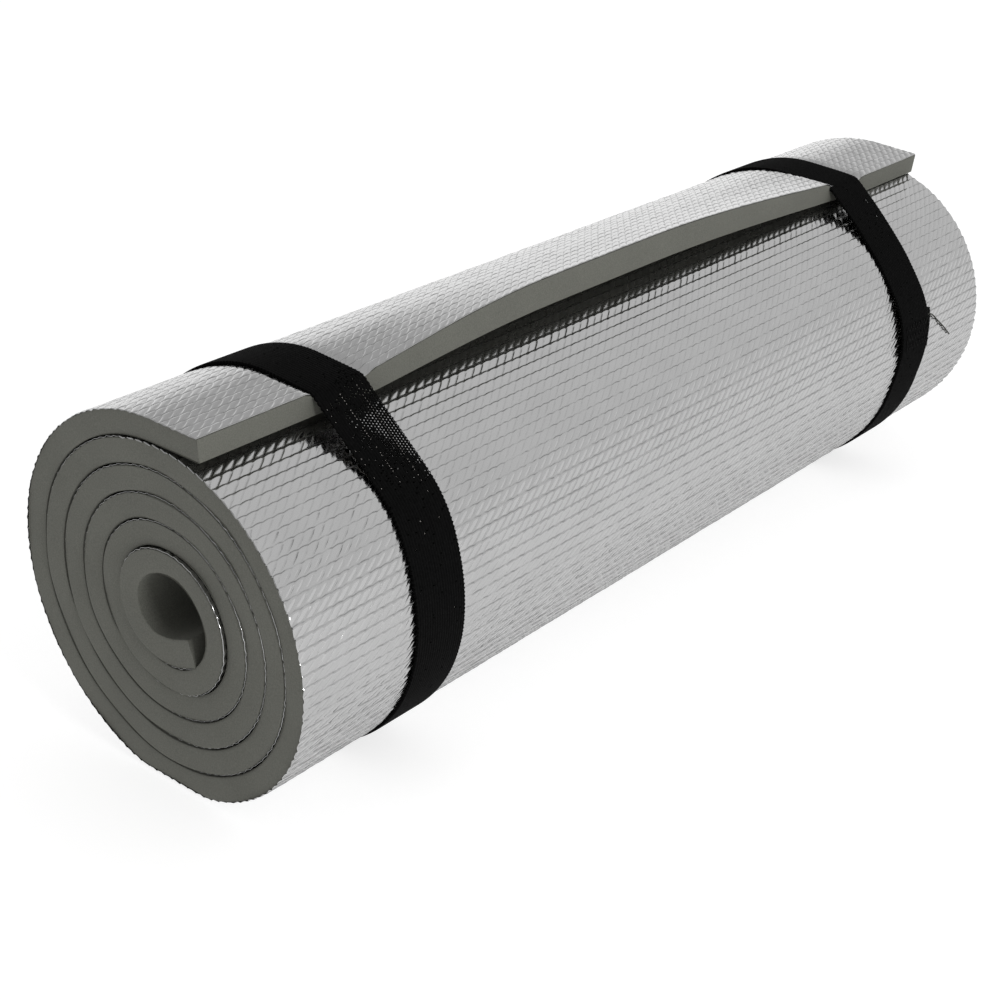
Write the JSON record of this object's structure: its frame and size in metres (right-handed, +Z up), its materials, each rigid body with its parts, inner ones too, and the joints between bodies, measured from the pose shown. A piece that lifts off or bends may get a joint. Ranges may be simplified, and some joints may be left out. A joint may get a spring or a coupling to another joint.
{
  "type": "foam sleeping pad",
  "caption": "Thin closed-cell foam sleeping pad with a reflective embossed film face, rolled up and held by two elastic straps that slide off over the ends.",
  "frame": {"origin": "middle of the underside of the rolled pad's box, where it stands on a floor", "axes": "+X along the roll towards its far end, -Y the side with the sheet's free edge, +Z up"},
  "size_m": [0.5, 0.1602, 0.1576],
  "materials": {
    "foam": "matte",
    "film": "satin",
    "elastic": "matte",
    "rubber_thread": "matte",
    "sewing_thread": "matte"
  },
  "bodies": {
    "roll": {"foam_pad": "foam", "foil_film": "film"},
    "near_strap": {"near_strap": "elastic", "near_strap_stitching": "sewing_thread", "near_strap_rubber_1": "rubber_thread", "near_strap_rubber_2": "rubber_thread", "near_strap_rubber_3": "rubber_thread", "near_strap_rubber_4": "rubber_thread", "near_strap_rubber_5": "rubber_thread", "near_strap_rubber_6": "rubber_thread", "near_strap_rubber_7": "rubber_thread", "near_strap_rubber_8": "rubber_thread"},
    "far_strap": {"far_strap": "elastic", "far_strap_stitching": "sewing_thread", "far_strap_thread": "sewing_thread", "far_strap_rubber_1": "rubber_thread", "far_strap_rubber_2": "rubber_thread", "far_strap_rubber_3": "rubber_thread", "far_strap_rubber_4": "rubber_thread", "far_strap_rubber_5": "rubber_thread", "far_strap_rubber_6": "rubber_thread", "far_strap_rubber_7": "rubber_thread", "far_strap_rubber_8": "rubber_thread"}
  },
  "joints": [
    {"name": "near_strap_slide", "type": "slide", "parent": "roll", "child": "near_strap", "axis": [-1, 0, 0], "range_m": [0, 0.105]},
    {"name": "far_strap_slide", "type": "slide", "parent": "roll", "child": "far_strap", "axis": [1, 0, 0], "range_m": [0, 0.115]}
  ]
}
